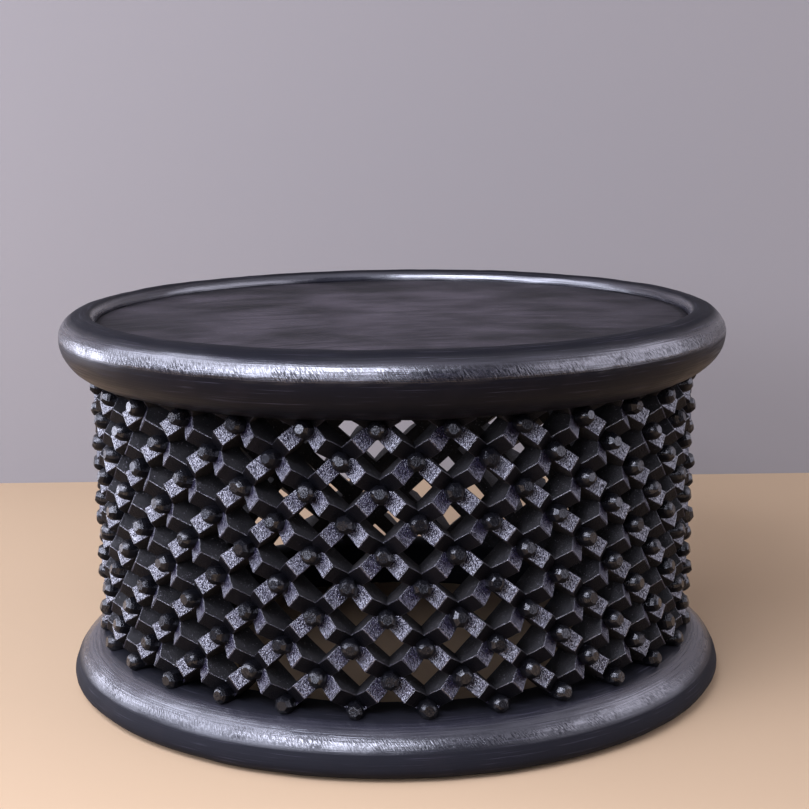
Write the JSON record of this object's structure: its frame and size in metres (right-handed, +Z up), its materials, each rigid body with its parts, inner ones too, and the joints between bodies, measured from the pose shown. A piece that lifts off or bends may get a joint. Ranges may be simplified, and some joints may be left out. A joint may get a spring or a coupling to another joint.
{
  "type": "stool",
  "caption": "Low round carved hardwood drum stool: dished seat with a thick rolled rim, openwork wall of crossing bars studded with domed knobs, and a rolled base ring.",
  "frame": {"origin": "centre of the drum on the ground, under the base ring", "axes": "+Z up along the drum's axis; the pictured front faces -Y, with +X on its right"},
  "size_m": [0.8, 0.8, 0.45],
  "materials": {
    "rim": "black-stained hardwood, waxed and worn to a soft sheen, with fine tool marks",
    "board": "black-stained hardwood, dull and slightly brown, with long curved tool marks",
    "wall": "black-stained hardwood, chisel-cut facets with rough end grain and polished knobs",
    "ring": "black-stained hardwood, satin, rubbed along its slope"
  },
  "bodies": {
    "root": {"seat_rim": "rim", "seat_board": "board", "lattice_post_01": "wall", "lattice_post_02": "wall", "lattice_post_03": "wall", "lattice_post_04": "wall", "lattice_post_05": "wall", "lattice_post_06": "wall", "lattice_post_07": "wall", "lattice_post_08": "wall", "lattice_post_09": "wall", "lattice_post_10": "wall", "lattice_post_11": "wall", "lattice_post_12": "wall", "lattice_post_13": "wall", "lattice_post_14": "wall", "lattice_post_15": "wall", "lattice_post_16": "wall", "lattice_post_17": "wall", "lattice_post_18": "wall", "lattice_post_19": "wall", "lattice_post_20": "wall", "lattice_post_21": "wall", "lattice_post_22": "wall", "lattice_post_23": "wall", "lattice_post_24": "wall", "lattice_post_25": "wall", "lattice_post_26": "wall", "lattice_post_27": "wall", "lattice_post_28": "wall", "lattice_post_29": "wall", "base_ring": "ring"}
  },
  "joints": []
}
